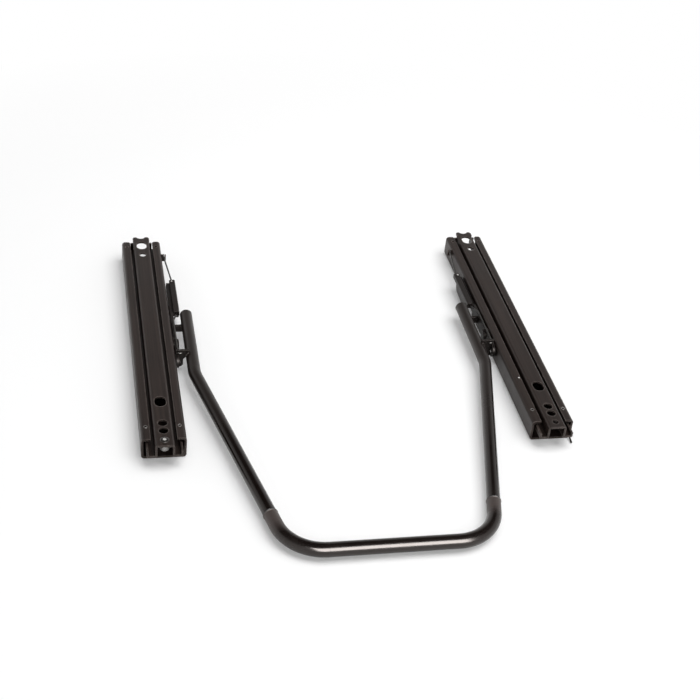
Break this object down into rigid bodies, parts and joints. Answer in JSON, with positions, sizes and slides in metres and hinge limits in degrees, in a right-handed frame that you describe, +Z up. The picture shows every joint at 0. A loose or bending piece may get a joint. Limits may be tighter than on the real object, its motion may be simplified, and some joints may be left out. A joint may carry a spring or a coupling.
{
  "type": "seat slide rail",
  "caption": "Pair of black folded-steel seat slide rails joined by a U-shaped release bar that frees the latches when lifted.",
  "frame": {"origin": "centre of the outer box, on the floor", "axes": "+X from the left rail to the right rail, +Y along the rails to the rear, +Z up"},
  "size_m": [0.4, 0.4794, 0.0251],
  "materials": {
    "rail_paint": "satin",
    "bar_paint": "gloss",
    "nylon": "matte",
    "zinc_steel": "satin",
    "spring_steel": "satin",
    "plug_plastic": "matte"
  },
  "bodies": {
    "left_channel": {"left_channel": "rail_paint", "left_front_inner_guide": "nylon", "left_front_outer_guide": "nylon", "left_rear_inner_guide": "nylon", "left_rear_outer_guide": "nylon", "left_pivot_pin": "rail_paint", "left_pivot_washer": "rail_paint"},
    "left_upper": {"left_upper_rail": "rail_paint", "left_front_stud": "zinc_steel"},
    "handle": {"handle_bow": "bar_paint", "left_handle_arm": "bar_paint", "right_handle_arm": "bar_paint", "left_arm_plug": "plug_plastic", "right_arm_plug": "plug_plastic", "left_latch_lever": "rail_paint", "right_latch_lever": "rail_paint", "left_return_spring": "spring_steel", "right_return_spring": "spring_steel"},
    "right_channel": {"right_channel": "rail_paint", "right_front_inner_guide": "nylon", "right_front_outer_guide": "nylon", "right_rear_inner_guide": "nylon", "right_rear_outer_guide": "nylon", "right_pivot_pin": "rail_paint", "right_pivot_washer": "rail_paint"},
    "right_upper": {"right_upper_rail": "rail_paint"}
  },
  "joints": [
    {"name": "handle_lift", "type": "hinge", "parent": "left_channel", "child": "handle", "pos_m": [-0.1579, 0.05672, 0.012], "axis": [-1, 0, 0], "range_deg": [0, 5], "stiffness_Nm_per_rad": 8, "springref_deg": -6.88, "deforming": ["left_return_spring", "right_return_spring"]},
    {"name": "right_pivot", "type": "hinge", "parent": "handle", "child": "right_channel", "pos_m": [0.1579, 0.05672, 0.012], "axis": [-1, 0, 0], "range_deg": [-5, 0]},
    {"name": "left_slide", "type": "slide", "parent": "left_channel", "child": "left_upper", "axis": [0, 1, 0], "range_m": [-0.06, 0.06]},
    {"name": "right_slide", "type": "slide", "parent": "right_channel", "child": "right_upper", "axis": [0, 1, 0], "range_m": [-0.06, 0.06]}
  ],
  "couplings": [
    {"joint": "right_pivot", "follows": "handle_lift", "ratio": -1}
  ]
}
